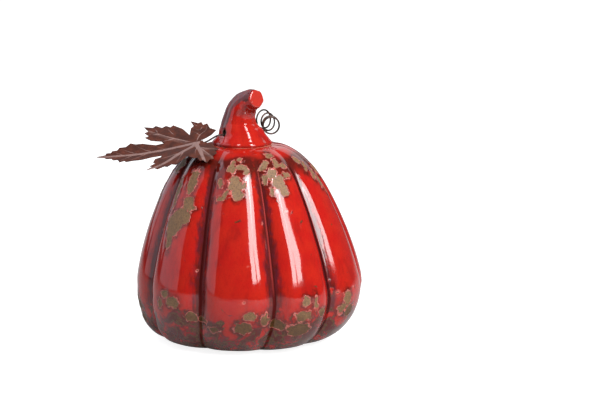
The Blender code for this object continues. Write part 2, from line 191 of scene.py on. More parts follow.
# The wire: its straight stretch through the stem, the lead to the leaf, and the tendril.
GAP = 0.0003
HOLE_CENTRE = Vector((-0.0085, 0.0, 0.1718))
HOLE_DIRECTION = Vector((-0.8, -0.6, 0.0))
HOLE_RADIUS = 0.0028
WIRE_RADIUS = 0.0007
WIRE_SAG = 0.0016
WIRE_CENTRE = AXIS + HOLE_CENTRE - Vector((0.0, 0.0, WIRE_SAG))
STRAIGHT_HALF = 0.01
LEAF_SIDE_REACH = 0.0208
TENDRIL_SIDE_REACH = 0.0262
BEND_EASE = 0.0016
HEEL_EASE = 0.35
FALL_EASE = 0.12
COIL_LOOPS = (  # x, y and z of the middle from the axis, radius, and degrees round that it faces
    (0.0095, 0.0192, 0.18, 0.0077, 50.0),
    (0.0139, 0.015, 0.1786, 0.0062, 44.0),
    (0.0168, 0.011, 0.1751, 0.007, 20.0),
    (0.0169, 0.01, 0.175, 0.0067, 12.0),
)
COIL_TURNS = 3.9
COIL_START_ANGLE = 210.0
COIL_STEPS = 22
COIL_LEAD_IN = 1.2
WIRE_SIDES = 14
WIRE_END_SHARE = 0.72
WIRE_LUMPS = (0.05, 0.0021)  # share of the radius, and wavelength
KINK = (0.0001, 0.006)  # distance and wavelength
KINK_SEED = 1

# The leaf's outline, as shares of its length, along and out from the midrib.
LEAF_LENGTH = 0.081
LEAF_TIP = (1.0, 0.0)
LEAF_BACK = (
    (0.91, 0.021), (0.898, 0.051), (0.853, 0.05), (0.838, 0.08), (0.79, 0.084), (0.765, 0.126),
    (0.7, 0.128), (0.65, 0.176), (0.6, 0.15), (0.53, 0.148), (0.4, 0.092), (0.31, 0.098),
    (0.345, 0.14), (0.44, 0.175), (0.5, 0.245), (0.458, 0.262), (0.503, 0.332), (0.462, 0.352),
    (0.505, 0.45), (0.415, 0.41), (0.385, 0.438), (0.32, 0.378), (0.28, 0.4), (0.235, 0.352),
    (0.206, 0.383), (0.112, 0.275), (0.046, 0.137), (0.025, 0.246), (-0.005, 0.275), (0.023, 0.378),
    (-0.05, 0.318), (-0.085, 0.33), (-0.1, 0.27), (-0.142, 0.288), (-0.165, 0.195), (-0.225, 0.15),
    (-0.17, 0.085), (-0.1, 0.042), (-0.04, 0.014),
)
LEAF_FRONT = (
    (0.92, 0.022), (0.898, 0.05), (0.85, 0.052), (0.833, 0.094), (0.785, 0.096), (0.768, 0.159),
    (0.72, 0.135), (0.7, 0.165), (0.63, 0.15), (0.55, 0.156), (0.44, 0.138), (0.343, 0.138),
    (0.348, 0.178), (0.41, 0.2), (0.43, 0.262), (0.4, 0.28), (0.465, 0.32), (0.435, 0.335),
    (0.5, 0.385), (0.421, 0.365), (0.39, 0.4), (0.321, 0.372), (0.29, 0.392), (0.245, 0.36),
    (0.202, 0.385), (0.15, 0.33), (0.085, 0.27), (0.02, 0.34), (-0.015, 0.345), (-0.04, 0.41),
    (-0.07, 0.405), (-0.105, 0.465), (-0.135, 0.41), (-0.178, 0.418), (-0.17, 0.345), (-0.215, 0.305),
    (-0.19, 0.255), (-0.24, 0.232), (-0.19, 0.165), (-0.175, 0.091), (-0.11, 0.043), (-0.04, 0.014),
)
PETIOLE_STUB = (-0.085, 0.012)
LEAF_THICKNESS = 0.0006
LEAF_JUNCTION = Vector((-0.0453, -0.0104, 0.164))
LEAF_DROOP = 8.6
LEAF_TILT = 23.0
LEAF_FOLD = 0.0022
LEAF_FOLD_REACH = 0.012
LEAF_SAG = 0.0026
LEAF_GRID = 0.00043
WIRE_UNDER_LEAF = LEAF_THICKNESS / 2 + GAP + WIRE_RADIUS
WIRE_UNDER_START = -0.006
WIRE_UNDER_END = 0.0095
BEADS = (  # node, and place along the midrib
    ("leaf_solder_petiole", -0.0035), ("leaf_solder_midrib", 0.0055),
)
BEAD_LENGTH = 0.003
BEAD_RADIUS = 0.0017
LEAF_WAVES = (0.00028, 0.014)  # height and wavelength
LEAF_HAMMERING = (0.00005, 0.0032)

# Veins, each from its root, as shares of the leaf's length with the front positive: its points, the
# height it stands up, and how deep the blade is pressed in along its front side, which also sets how
# strong the painted sheen on that slope is.
VEIN_WIDTH = 0.00031
PLEAT_WIDTH = 0.0034
VEINS = (
    (((-0.06, 0.0), (0.0, 0.0), (0.5, 0.004), (1.0, 0.0)), 0.0005, 0.0013),
    (((0.0, 0.0), (0.2, -0.136), (0.35, -0.26), (0.49, -0.4)), 0.00042, 0.0006),
    (((-0.01, 0.0), (-0.054, -0.104), (-0.12, -0.167), (-0.137, -0.257)), 0.0004, 0.0004),
    (((0.0, 0.0), (0.027, 0.057), (0.165, 0.17), (0.32, 0.3), (0.49, 0.38)), 0.00045, 0.0012),
    (((-0.02, 0.0), (-0.04, 0.09), (-0.06, 0.2), (-0.1, 0.45)), 0.00045, 0.001),
    (((0.2, -0.136), (0.325, -0.13), (0.45, -0.18)), 0.00028, 0.0),
    (((0.35, -0.26), (0.43, -0.275), (0.49, -0.33)), 0.00026, 0.0),
    (((0.367, -0.29), (0.385, -0.35), (0.41, -0.405)), 0.00028, 0.0),
    (((0.2, -0.19), (0.245, -0.28), (0.265, -0.358)), 0.00026, 0.0),
    (((-0.054, -0.104), (-0.02, -0.15), (0.018, -0.174)), 0.00026, 0.0),
    (((-0.1, -0.25), (-0.064, -0.185), (-0.03, -0.2), (0.0, -0.231)), 0.00028, 0.0),
    (((-0.036, -0.254), (-0.02, -0.29), (0.0, -0.328)), 0.00024, 0.0),
    (((0.165, 0.17), (0.27, 0.2), (0.4, 0.215)), 0.00028, 0.0004),
    (((0.1, 0.12), (0.14, 0.22), (0.2, 0.36)), 0.00028, 0.0004),
    (((-0.05, 0.14), (-0.12, 0.19), (-0.2, 0.22)), 0.0003, 0.0006),
    (((-0.05, 0.16), (-0.11, 0.27), (-0.17, 0.38)), 0.0003, 0.0006),
    (((-0.03, 0.12), (0.0, 0.22), (0.0, 0.32)), 0.00026, 0.0),
    (((0.3, 0.002), (0.36, 0.05), (0.43, 0.12)), 0.00022, 0.0),
    (((0.3, 0.002), (0.36, -0.04), (0.42, -0.08)), 0.00022, 0.0),
    (((0.45, 0.003), (0.54, 0.06), (0.66, 0.14)), 0.0003, 0.0004),
    (((0.45, 0.003), (0.53, -0.06), (0.63, -0.15)), 0.00028, 0.0),
    (((0.6, 0.003), (0.68, 0.06), (0.765, 0.13)), 0.0003, 0.0004),
    (((0.6, 0.003), (0.68, -0.05), (0.76, -0.11)), 0.00028, 0.0),
    (((0.74, 0.002), (0.79, 0.04), (0.835, 0.085)), 0.00026, 0.0),
    (((0.74, 0.002), (0.79, -0.035), (0.835, -0.07)), 0.00026, 0.0),
)

# Foot pads.
PAD_RADIUS = 0.005
PAD_TOP = 0.0014
PAD_CIRCLE = 0.037
PAD_ANGLES = (45.0, 135.0, 225.0, 315.0)

# Colours, linear.
RED = (0.3, 0.0062, 0.004)
RED_WARM = (0.32, 0.01, 0.0045)
RED_DEEP = (0.19, 0.005, 0.0036)
MAROON = (0.07, 0.0056, 0.0038)
GROOVE_BOTTOM = (0.088, 0.0066, 0.006)
PLUM = (0.075, 0.0075, 0.0125)
BLACK = (0.006, 0.004, 0.005)
# The stem's cut face: its orange-red glaze, made paler and pinker by a painted reflection.
CORAL = (0.31, 0.02, 0.013)
# Painted shade on the shoulder and under the stem's tip; also the dark halo round the bare patches.
SHOULDER_DARK = (0.062, 0.0052, 0.003)
TAN = (0.172, 0.088, 0.034)
TAN_DARK = (0.08, 0.039, 0.016)
# Painted highlight on the lips round the bare patches and the pinholes.
RIM_HIGHLIGHT_PINK = (0.48, 0.13, 0.105)
OLIVE = (0.105, 0.046, 0.013)
OLIVE_DARK = (0.05, 0.021, 0.008)
PURPLE = (0.135, 0.01, 0.015)
CLAY = (0.48, 0.33, 0.22)
CLAY_DARK = (0.36, 0.24, 0.15)
RUST = (0.076, 0.018, 0.0095)
RUST_DARK = (0.038, 0.0102, 0.0066)
# Pale rust for the veins' wear and for the painted sheen on the leaf's pleats.
RUST_PALE = (0.225, 0.14, 0.126)
RUST_FLECK = (0.12, 0.04, 0.02)
IRON = (0.07, 0.048, 0.042)
IRON_DARK = (0.03, 0.02, 0.018)
IRON_RUST = (0.115, 0.042, 0.022)
SOLDER = (0.27, 0.255, 0.245)
SOLDER_DARK = (0.16, 0.15, 0.145)
FLUX = (0.1, 0.058, 0.035)
FELT = (0.17, 0.15, 0.13)
FELT_DARK = (0.06, 0.052, 0.046)
FELT_PALE = (0.24, 0.22, 0.2)
PAPER = (0.43, 0.43, 0.43)
PAPER_DARK = (0.4, 0.4, 0.4)
WHITE = (1.0, 1.0, 1.0)
DAYLIGHT = (0.86, 0.9, 1.0)
SKY = (0.92, 0.95, 1.0)

CAMERA_ELEVATION = 10.0
CAMERA_DISTANCE = 2.0
CAMERA_TARGET = Vector((AXIS.x, 0.0, 0.1))
VIEW_WIDTH = 0.492  # of the frame at the target's distance
SENSOR = 36.0
CAMERA_SHIFT = (0.0822, 0.0298)
FLOOR_REACH = 9.0

# Soft boxes that face the figure: degrees right of the camera, elevation in degrees, distance,
# width, height, watts, roll in degrees and colour.
SOFT_BOXES = {
    "key_left": (29.0, 39.0, 1.3, 0.36, 1.3, 18.5, -3.0, WHITE),
    "key_right": (45.0, 39.0, 1.3, 0.36, 1.3, 18.5, 3.0, WHITE),
    "side_reflector": (-84.0, 28.0, 1.6, 1.5, 1.8, 8.5, 0.0, DAYLIGHT),
    "back_reflector": (-135.0, 28.0, 1.7, 1.4, 1.6, 7.5, 0.0, DAYLIGHT),
    "backdrop_glow": (163.0, 26.0, 2.2, 1.6, 1.2, 5.0, 0.0, WHITE),
}
OVERHEAD_STRENGTH = 1.2
OVERHEAD_SPREAD = 120.0  # degrees
SKY_STRENGTH = 0.1
FLOOR_GLOW = 0.05
FLOOR_GLOW_SEEN = 0.87  # to the camera, so that the floor renders white


# Small helpers.


def spline(stations, steps):
    """A Catmull-Rom curve through the stations, with that many steps between two of them."""
    points = np.array(stations)
    points = np.vstack([2 * points[0] - points[1], points, 2 * points[-1] - points[-2]])
    curve = []
    for before, start, end, after in zip(points, points[1:], points[2:], points[3:]):
        for t in np.arange(steps) / steps:
            linear = (end - before) * t
            square = (2 * before - 5 * start + 4 * end - after) * t**2
            cubic = (3 * start - before - 3 * end + after) * t**3
            curve.append((2 * start + linear + square + cubic) / 2)
    return np.array(curve + [points[-2]])


def look_up(stations, value):
    """The amount at this value, by straight lines between (value, amount) stations."""
    places, values = zip(*stations)
    return np.interp(value, places, values)


def smooth(value, low, high):
    """0 below low and 1 above high, with a soft step between."""
    share = np.clip((value - low) / (high - low), 0.0, 1.0)
    return share * share * (3 - 2 * share)


def noise_at(points, wavelength, shift=0.0):
    """Smooth noise, about -1 to 1, at each of the points."""
    scaled = np.asarray(points) / wavelength + shift
    values = [noise.noise(Vector(point)) for point in scaled.reshape(-1, 3)]
    return np.array(values).reshape(scaled.shape[:-1])


def put(name, data):
    """A new object of this mesh, light or camera, in the scene."""
    obj = bpy.data.objects.new(name, data)
    bpy.context.scene.collection.objects.link(obj)
    return obj


def mesh_object(name, points, faces, values=None, sharp=None):
    """A smooth-shaded mesh object whose vertices hold these values."""
    mesh = bpy.data.meshes.new(name)
    mesh.from_pydata([tuple(point) for point in points], [], faces)
    bm = bmesh.new()
    bm.from_mesh(mesh)
    bmesh.ops.recalc_face_normals(bm, faces=bm.faces)
    bm.to_mesh(mesh)
    bm.free()
    mesh.shade_smooth()
    if sharp:
        mesh.set_sharp_from_angle(angle=math.radians(sharp))
    set_values(mesh, values or {})
    return put(name, mesh)


def set_values(mesh, values):
    """Give the vertices these amounts, as attributes that materials read by their keys."""
    for key, amounts in values.items():
        layer = mesh.attributes.new(key, "FLOAT", "POINT")
        layer.data.foreach_set("value", np.asarray(amounts, np.float32).ravel())


def ring_faces(rows, columns, looped=False, capped=False):
    """Quads between rings of points. Looped joins the last ring to the first, capped fills both."""
    faces = []
    count = rows if looped else rows - 1
    for row in range(count):
        low = row * columns
        high = (row + 1) % rows * columns
        for i in range(columns):
            j = (i + 1) % columns
            faces.append((low + i, low + j, high + j, high + i))
    if capped:
        faces.append(tuple(range(columns)))
        faces.append(tuple(range((rows - 1) * columns, rows * columns)))
    return faces


# The body.


def lobe_columns():
    """Angles round the body in radians, and how full the lobe is there: 0 in a groove, 1 on a crest."""
    share = np.arange(LOBE_COLUMNS) / LOBE_COLUMNS
    share = share - COLUMN_CROWDING * np.sin(math.tau * share) / math.tau
    from_groove = 1 - np.abs(2 * share - 1)
    rounded = np.hypot(from_groove, GROOVE_ROUNDING) - GROOVE_ROUNDING
    rounded /= math.hypot(1, GROOVE_ROUNDING) - GROOVE_ROUNDING
    full = 1 - (1 - rounded) ** LOBE_FULLNESS
    angles = []
    for start, end in zip(GROOVES, GROOVES[1:] + (GROOVES[0] + 360,)):
        angles.append(np.radians(start + share * (end - start)))
    return np.concatenate(angles), np.tile(full, len(GROOVES))


def ring_points(radius, height, depth, angles, full):
    """A level ring round the body, its grooves this deep."""
    reach = radius - depth * (1 - full)
    lean = look_up(BODY_LEAN, height)
    across = AXIS.x + lean + reach * np.sin(angles)
    deep = AXIS.y - reach * np.cos(angles)
    return np.column_stack([across, deep, np.full_like(angles, height)])


def body_place(degrees, height):
    """The point of the crest surface there, with its directions across and up the wall."""
    turn = math.radians(degrees)
    crest = np.array(BODY_CREST)
    step = 0.002
    radius = np.interp(height, crest[:, 1], crest[:, 0])
    slope = (np.interp(height + step, crest[:, 1], crest[:, 0]) - radius) / step
    up = np.array([slope * math.sin(turn), -slope * math.cos(turn), 1.0])
    up /= np.linalg.norm(up)
    across = np.array([math.cos(turn), math.sin(turn), 0.0])
    middle = np.array([radius * math.sin(turn), -radius * math.cos(turn), height])
    middle += (AXIS.x + look_up(BODY_LEAN, height), AXIS.y, 0)
    return middle, across, up


def all_patches():
    """The listed patches, and more of the same kind round the back."""
    draw = random.Random(11)
    patches = list(PATCHES)
    for _ in range(BACK_PATCHES):
        degrees = draw.uniform(*BACK_VIEW)
        band = BACK_FOOT_BAND if draw.random() < BACK_FOOT_SHARE else BACK_SHOULDER_BAND
        height = draw.uniform(*band)
        size = draw.uniform(*BACK_PATCH_SIZE)
        patches.append((degrees, height, size * draw.uniform(0.7, 1.3), size * draw.uniform(0.8, 1.6), 0))
    return patches


def patch_field(points):
    """How far inside a bare patch each point lies, in metres, and negative outside."""
    warp = np.stack([noise_at(points, PATCH_WARP_WAVE, shift) for shift in (3.1, 8.7)], axis=-1)
    fray = noise_at(points, PATCH_FRAY_WAVE, 5.3)
    field = np.full(points.shape[:-1], NO_PATCH)
    for degrees, height, half_width, half_height, lean in all_patches():
        middle, across, up = body_place(degrees, height)
        turn = math.radians(lean)
        offset = points - middle
        near = np.einsum("...i,...i->...", offset, offset) < (3 * max(half_width, half_height)) ** 2
        side = offset[near] @ across + PATCH_WARP * warp[near][:, 0]
        rise = offset[near] @ up + PATCH_WARP * warp[near][:, 1]
        along = side * math.cos(turn) + rise * math.sin(turn)
        upright = rise * math.cos(turn) - side * math.sin(turn)
        inside = 1 - np.hypot(along / half_width, upright / half_height)
        inside = inside * min(half_width, half_height) + PATCH_FRAY * fray[near]
        field[near] = np.maximum(field[near], inside)
    return field


def pinhole_field(points):
    """Depth of the pinholes, 0 to 1."""
    field = np.zeros(points.shape[:-1])
    for degrees, height, radius in PINHOLES:
        middle, _, _ = body_place(degrees, height)
        turn = math.radians(degrees)
        outwards = np.array([math.sin(turn), -math.cos(turn), 0.0])
        flat = points - middle
        flat = flat - (flat @ outwards)[..., None] * outwards
        field = np.maximum(field, 1 - np.linalg.norm(flat, axis=-1) / (PINHOLE_SPREAD * radius))
    return np.clip(field, 0, 1)


def body_skin(outer, along, angles, full):
    """The outside of the wall, row by row, with the values that the glaze and its painted shade go by at
    each point.
    """
    rows = []
    outwards = []
    for (radius, height), (run, rise) in zip(outer, along):
        rows.append(ring_points(radius, height, look_up(GROOVE_DEPTH, height), angles, full))
        outwards.append(
            np.column_stack([rise * np.sin(angles), -rise * np.cos(angles), np.full(len(angles), -run)])
        )
    skin = np.array(rows)
    height = skin[..., 2]
    loose = smooth(height, *FOOT_EASE) * (1 - smooth(height, *NECK_EASE))
    bare = patch_field(skin)
    pits = pinhole_field(skin)
    proud = LONG_WAVE[0] * noise_at(skin * (1, 1, 0.6), LONG_WAVE[1], 1.7)
    proud += SHORT_WAVE[0] * noise_at(skin * (1, 1, 0.7), SHORT_WAVE[1], 6.1)
    inside = smooth(bare, -0.0002, 0.0008)
    rim = smooth(bare, -0.0014, -0.0002) * (1 - inside)
    proud += PATCH_RIM * rim - PATCH_RECESS * inside - PINHOLE_DEPTH * pits
    skin = skin + np.array(outwards) * (proud * loose)[..., None]

    wander = 0.006 * noise_at(skin, 0.02, 2.2)
    ring_wander = 0.0024 * noise_at(skin, 0.013, 9.4) + 0.0008 * noise_at(skin, 0.004, 3.9)
    # Painted shade: a dark band round the shoulder below the neck.
    shoulder = smooth(height + ring_wander, *SHOULDER_START)
    shoulder *= 1 - smooth(height + ring_wander, *SHOULDER_END)
    values = {
        "bare": bare,
        "pit": pits,
        "groove": np.broadcast_to(1 - full, height.shape) * (1 - smooth(height, *GROOVE_END)),
        "dark": shoulder,
        "foot": 1 - smooth(height + wander, *FOOT_BAND),
        "clay": 1 - smooth(height, *CLAY_LINE),
        "black": 0.0,
        "cut": 0.0,
    }
    return skin, values


def build_body():
    angles, full = lobe_columns()
    outer = spline(BODY_CREST, CREST_STEPS)
    along = np.gradient(outer, axis=0)
    along /= np.linalg.norm(along, axis=1)[:, None]
    inner = (outer + WALL * np.column_stack([-along[:, 1], along[:, 0]]))[::-CREST_STEPS]
    foot = outer[0][1]
    top = outer[-1][1]
    skin, paint = body_skin(outer, along, angles, full)

    def plain_rings(*measures):
        return [ring_points(radius, height, 0, angles, full) for radius, height in measures]

    underside = plain_rings(
        (DRAIN_RADIUS, foot + FOOT_RECESS),
        (FOOT_RING_INNER - FOOT_RING_SLOPE, foot + FOOT_RECESS),
        (FOOT_RING_INNER, foot),
    )
    before = len(underside)
    rings = [*underside, *skin, *plain_rings((NECK_RADIUS, top), (NECK_RADIUS, top - WALL))]
    for radius, height in inner:
        rings.append(ring_points(radius, height, look_up(GROOVE_DEPTH, height), angles, full))
    rings += plain_rings((DRAIN_RADIUS, foot + WALL + FOOT_RECESS))

    # Only the skin is glazed: the rest of the body is raw clay.
    elsewhere = {"bare": NO_PATCH, "clay": 1.0}
    values = {}
    for key, amounts in paint.items():
        values[key] = np.full((len(rings), len(angles)), elsewhere.get(key, 0.0))
        values[key][before:before + len(skin)] = amounts
    faces = ring_faces(len(rings), len(angles), looped=True)
    return mesh_object("glazed_body", np.concatenate(rings), faces, values, sharp=60)


# The stem.


def stem_rings(stations, steps, ridge_height, rough):
    """Rings of points round the middle line, each with the direction that it faces."""
    line = spline(stations, steps)
    along = np.gradient(line[:, :3], axis=0)
    up = Vector((0, 0, 1))
    rings = []
    for station, tangent in zip(line, along):
        level = float(look_up(STEM_UPRIGHT, station[2]))
        tangent = Vector(tangent).normalized().lerp(up, level).normalized()
        sideways = Vector((0, 1, 0)).cross(tangent).normalized()
        forwards = tangent.cross(sideways)
        middle = AXIS + Vector(station[:3])
        ring = []
        for side in range(STEM_SIDES):
            angle = math.tau * side / STEM_SIDES
            outwards = math.cos(angle) * sideways + math.sin(angle) * forwards
            radius = float(station[3])
            ridges = ridge_height * math.cos(STEM_RIDGES * angle)
            ridges += ridge_height * 0.35 * math.cos(11 * angle + 1.3)
            point = middle + outwards * radius * (1 + ridges)
            if rough:
                lumps = sum(height * noise.noise(point / wave) for height, wave in STEM_LUMPS) - STEM_SINK
                point += outwards * lumps * float(smooth(station[2], *STEM_LUMPS_START))
            ring.append(point)
        rings.append((ring, tangent))
    return rings


def stem_mesh():
    bore = [ring for ring, _ in stem_rings(STEM_BORE, 4, 0, False)]
    horn = stem_rings(STEM_CENTRES, STEM_STEPS, STEM_RIDGE_HEIGHT, True)
    last, facing = horn[-1]
    middle = sum(last, Vector()) / len(last)
    rim = []
    for forward, share in STEM_RIM:
        rim.append([middle + (point - middle) * share + facing * forward for point in last])
    rings = bore[::-1] + [ring for ring, _ in horn] + rim
    points = [point for ring in rings for point in ring]
    return points, ring_faces(len(rings), STEM_SIDES, capped=True)


def drilled_stem():
    """The stem's mesh, with the wire's two holes cut through it."""
    blank = mesh_object("stem_blank", *stem_mesh())
    bpy.ops.mesh.primitive_cylinder_add(vertices=64, radius=HOLE_RADIUS, depth=0.07)
    drill = bpy.context.object
    drill.location = AXIS + HOLE_CENTRE
    drill.rotation_euler = HOLE_DIRECTION.to_track_quat("Z", "Y").to_euler()
    cut = blank.modifiers.new("wire_holes", "BOOLEAN")
    cut.operation = "DIFFERENCE"
    cut.object = drill
    bpy.context.view_layer.update()
    mesh = bpy.data.meshes.new_from_object(blank.evaluated_get(bpy.context.evaluated_depsgraph_get()))
    mesh.name = "glazed_stem"
    bpy.data.objects.remove(drill)
    bpy.data.objects.remove(blank)
    return mesh


def stem_paint(points, reach, depth):
    """The values that the glaze and its painted shade go by. Reach is from the line of the holes, depth is
    along it.
    """
    height = points[:, 2]
    line = spline(STEM_CENTRES, STEM_STEPS)[:, :3] + np.array(AXIS)
    closest = np.array([line[np.argmin(np.linalg.norm(line - point, axis=1))] for point in points])
    outwards = points - closest
    outwards /= np.linalg.norm(outwards, axis=1)[:, None] + 1e-9
    wander = 0.14 * noise_at(points, 0.007, 4.4) + 0.08 * noise_at(points, 0.0028, 1.4)

    seam = outwards @ np.array(RED_FLANK)
    dark = (1 - smooth(seam + wander, -0.1, 0.08)) * smooth(height + 0.03 * wander, 0.169, 0.178)
    # Painted shade under the tip, which faces down.
    underside = smooth(outwards @ np.array(UNDER_TIP) + wander, 0.4, 0.8)
    underside *= smooth(height, 0.183, 0.189)
    front = outwards @ np.array(LEFT_FRONT) > 0.3
    olive = smooth(1 - np.abs(seam - 0.2) / 0.09 + wander, 0.3, 0.9) * front
    olive *= smooth(height, 0.176, 0.18) * (1 - smooth(height, 0.184, 0.188))
    # Painted shade: a black line along a crease on the stem's front left.
    crease_shade = smooth(1 - np.abs(seam + 0.03) / 0.07, 0.1, 1.0) * front * smooth(height, 0.174, 0.18)
    crease_shade *= 1 - smooth(height, 0.19, 0.194)
    tip = np.array(AXIS) + np.array(STEM_CENTRES[-1][:3])
    cut = 1 - smooth(np.linalg.norm(points - tip, axis=1), *CUT_FACE_EDGE)
    # Painted shade: the insides of the wire holes are painted black.
    hole_shade = (reach < HOLE_RADIUS + 0.0002) * (depth > 0.008)
    bore = smooth(0.0135 - np.linalg.norm((points - closest), axis=1), 0.0, 0.001) * (height < 0.176)
    return {
        "bare": NO_PATCH + (0.0004 - NO_PATCH) * olive,
        "pit": np.zeros(len(points)),
        "groove": np.clip(0.76 * dark, 0, 1) * (1 - cut),
        "black": np.clip(0.7 * crease_shade + hole_shade, 0, 1) * (1 - cut),
        "cut": cut,
        "dark": np.clip(0.6 * underside, 0, 1) * (1 - cut),
        "foot": np.zeros(len(points)),
        "clay": np.clip(bore, 0, 1),
    }


def build_stem():
    mesh = drilled_stem()
    points = np.empty(len(mesh.vertices) * 3, np.float32)
    mesh.vertices.foreach_get("co", points)
    points = points.reshape(-1, 3).astype(float)

    # Round the lips of the two holes: the glaze pulls in a little at their edge.
    direction = np.array(HOLE_DIRECTION)
    offset = points - np.array(AXIS + HOLE_CENTRE)
    along = offset @ direction
    reach = np.linalg.norm(offset - along[:, None] * direction, axis=1)
    lip = 1 - smooth(reach, HOLE_RADIUS, HOLE_RADIUS + HOLE_LIP_WIDTH)
    lip = lip * (np.abs(along) > HOLE_LIP_REACH) * (reach > 0.9 * HOLE_RADIUS)
    points -= direction * (np.sign(along) * HOLE_LIP_DEPTH * lip)[:, None]
    mesh.vertices.foreach_set("co", points.astype(np.float32).ravel())

    mesh.shade_smooth()
    mesh.set_sharp_from_angle(angle=math.radians(48))
    set_values(mesh, stem_paint(points, reach, np.abs(along)))
    return put("glazed_stem", mesh)


# The leaf, in its own frame: the junction of the veins is the origin, X runs out along the midrib,
# Y towards the front and Z up.


def leaf_frame():
    """Where the leaf's own frame lies, as a matrix."""
    droop = math.radians(LEAF_DROOP)
    tilt = math.radians(LEAF_TILT)
    midrib = Vector((-math.cos(droop), 0, -math.sin(droop)))
    across = Vector((0, math.cos(tilt), math.sin(tilt)))
    across = (across - across.dot(midrib) * midrib).normalized()
    upwards = across.cross(midrib)
    placed = Matrix((midrib, -across, upwards)).transposed().to_4x4()
    placed.translation = AXIS + LEAF_JUNCTION
    return placed


def leaf_height(along, across):
    """How high the bent blade's middle stands, before its veins."""
    fold = LEAF_FOLD * (1 - np.exp(-((across / LEAF_FOLD_REACH) ** 2)))
    sag = LEAF_SAG * np.sin(np.pi * np.clip(along / LEAF_LENGTH, 0, 1))
    return fold - sag


def vein_places(points, path):
    """For each point: how far it is from the vein, how far to its front side, and its share along it."""
    best = np.full(len(points), 1.0)
    signed = np.zeros(len(points))
    share = np.zeros(len(points))
    for number, (start, end) in enumerate(zip(path, path[1:])):
        run = end - start
        t = np.clip((points - start) @ run / (run @ run), 0, 1)
        offset = points - start - t[:, None] * run
        far = np.linalg.norm(offset, axis=1)
        closer = far < best
        best[closer] = far[closer]
        forwards = np.array([-run[1], run[0]]) * np.sign(run[0] if abs(run[0]) > 1e-6 else 1.0)
        side = (offset @ forwards) / np.linalg.norm(run)
        signed[closer] = side[closer]
        share[closer] = (number + t[closer]) / (len(path) - 1)
    return best, signed, share


def vein_relief(points):
    """For points of the flat leaf: their height, how near a vein is, and how much painted sheen a pleat's
    front slope has.
    """
    relief = np.zeros(len(points))
    near = np.zeros(len(points))
    pleat_sheen = np.zeros(len(points))
    for path, height, pleat in VEINS:
        path = spline([(*place, 0.0) for place in path], 4)[:, :2] * LEAF_LENGTH
        best, signed, share = vein_places(points, path)
        width = VEIN_WIDTH * (1.25 - 0.6 * share)
        ridge = np.exp(-((best / width) ** 2)) * (1.1 - 0.55 * share)
        relief = np.maximum(relief, height * ridge)
        paleness = ridge * min(1.0, height / 0.0003) * (0.35 + 0.65 * smooth(share, 0.0, 0.22))
        near = np.maximum(near, paleness)
        if pleat:
            reach = PLEAT_WIDTH * (1.1 - 0.5 * share)
            dip = np.exp(-(((signed - reach) / (0.75 * reach)) ** 2))
            dip = dip * np.exp(-((best / (3.2 * reach)) ** 2))
            relief -= pleat * dip * (1 - 0.5 * share)
            # Painted sheen: the front slope of each pleat is painted paler.
            facing = smooth(signed, 0, 0.0003) * (1 - smooth(signed, 1.0 * reach, 1.35 * reach))
            facing = facing * np.exp(-((best / (2.2 * reach)) ** 2)) * min(1.0, pleat / 0.001)
            facing = facing * smooth(share, 0.02, 0.14)
            pleat_sheen = np.maximum(pleat_sheen, facing)
    return relief, near, pleat_sheen


def build_leaf():
    back = [(along, -across) for along, across in (*LEAF_BACK, PETIOLE_STUB)]
    corners = np.array([LEAF_TIP, *LEAF_FRONT, PETIOLE_STUB, *reversed(back)]) * LEAF_LENGTH
    outline = []
    for start, end in zip(corners, np.roll(corners, -1, axis=0)):
        steps = max(1, int(np.linalg.norm(end - start) / LEAF_GRID))
        outline += [Vector(start + (end - start) * step / steps) for step in range(steps)]
    rows = np.arange(-0.26 * LEAF_LENGTH, LEAF_LENGTH, LEAF_GRID)
    columns = np.arange(-0.5 * LEAF_LENGTH, 0.5 * LEAF_LENGTH, LEAF_GRID)
    grid = [
        Vector((row + (number % 2) * LEAF_GRID / 2, column))
        for number, column in enumerate(columns)
        for row in rows
    ]
    border = list(range(len(outline)))
    points, _, triangles, _, _, _ = delaunay_2d_cdt(outline + grid, [], [border], 1, 1e-7)
    used = sorted({index for triangle in triangles for index in triangle})
    place = {index: order for order, index in enumerate(used)}
    flat = np.array([points[index] for index in used])
    relief, near, pleat_sheen = vein_relief(flat)
    level = np.column_stack([flat, np.zeros(len(flat))])
    height = leaf_height(flat[:, 0], flat[:, 1]) + relief
    height += LEAF_WAVES[0] * noise_at(level, LEAF_WAVES[1], 2.9)
    height += LEAF_HAMMERING[0] * noise_at(level, LEAF_HAMMERING[1], 7.7)
    lifted = np.column_stack([flat, height])
    placed = np.array(leaf_frame())
    world = lifted @ placed[:3, :3].T + placed[:3, 3]
    faces = [[place[index] for index in triangle] for triangle in triangles]
    values = {"vein": near, "pleat": pleat_sheen}
    leaf = mesh_object("maple_leaf", world, faces, values)
    if sum(face.normal.z * face.area for face in leaf.data.polygons) < 0:
        leaf.data.flip_normals()
    thicken = leaf.modifiers.new("sheet_thickness", "SOLIDIFY")
    thicken.thickness = LEAF_THICKNESS
    thicken.offset = 0
    return leaf


# The wires and the solder.


def tube(name, points, radius):
    """A round bar along the points, a little uneven, with narrowed ends."""
    points = [Vector(point) for point in points]
    rings = []
    swell, wave = WIRE_LUMPS
    sideways = Vector((0.13, 0.21, 0.97))  # any direction off the wire's own, kept from twisting
    for number, point in enumerate(points):
        tangent = (points[min(number + 1, len(points) - 1)] - points[max(number - 1, 0)]).normalized()
        sideways = (sideways - sideways.dot(tangent) * tangent).normalized()
        other = tangent.cross(sideways)
        thick = radius * (1 + swell * noise.noise(point / wave))
        if number in (0, len(points) - 1):
            thick *= WIRE_END_SHARE
        for side in range(WIRE_SIDES):
            angle = math.tau * side / WIRE_SIDES
            rings.append(point + thick * (math.cos(angle) * sideways + math.sin(angle) * other))
    return mesh_object(name, rings, ring_faces(len(points), WIRE_SIDES, capped=True), sharp=65)


